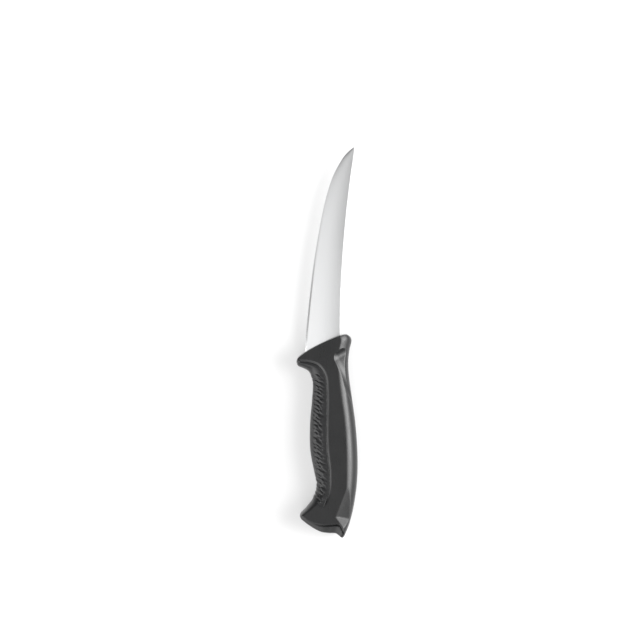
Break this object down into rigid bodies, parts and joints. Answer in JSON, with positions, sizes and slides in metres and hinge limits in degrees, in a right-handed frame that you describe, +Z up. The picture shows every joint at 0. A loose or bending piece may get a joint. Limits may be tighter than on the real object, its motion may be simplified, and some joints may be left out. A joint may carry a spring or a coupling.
{
  "type": "boning knife",
  "caption": "Curved narrow boning knife with a thin satin steel blade, a hidden tang and a black moulded handle with finger guard, hooked butt and soft textured belly grip",
  "frame": {"origin": "middle of the underside of the knife's bounding box, the knife lying on its flat side", "axes": "+Y from the butt towards the blade's point, +X from the cutting edge towards the spine, +Z up"},
  "size_m": [0.0456, 0.2906, 0.023],
  "materials": {
    "blade_steel": "satin",
    "hard_plastic": "fine satin moulding",
    "grip_rubber": "matt, textured"
  },
  "bodies": {
    "root": {"blade_with_tang": "blade_steel", "handle_body": "hard_plastic", "soft_grip": "grip_rubber"}
  },
  "joints": []
}
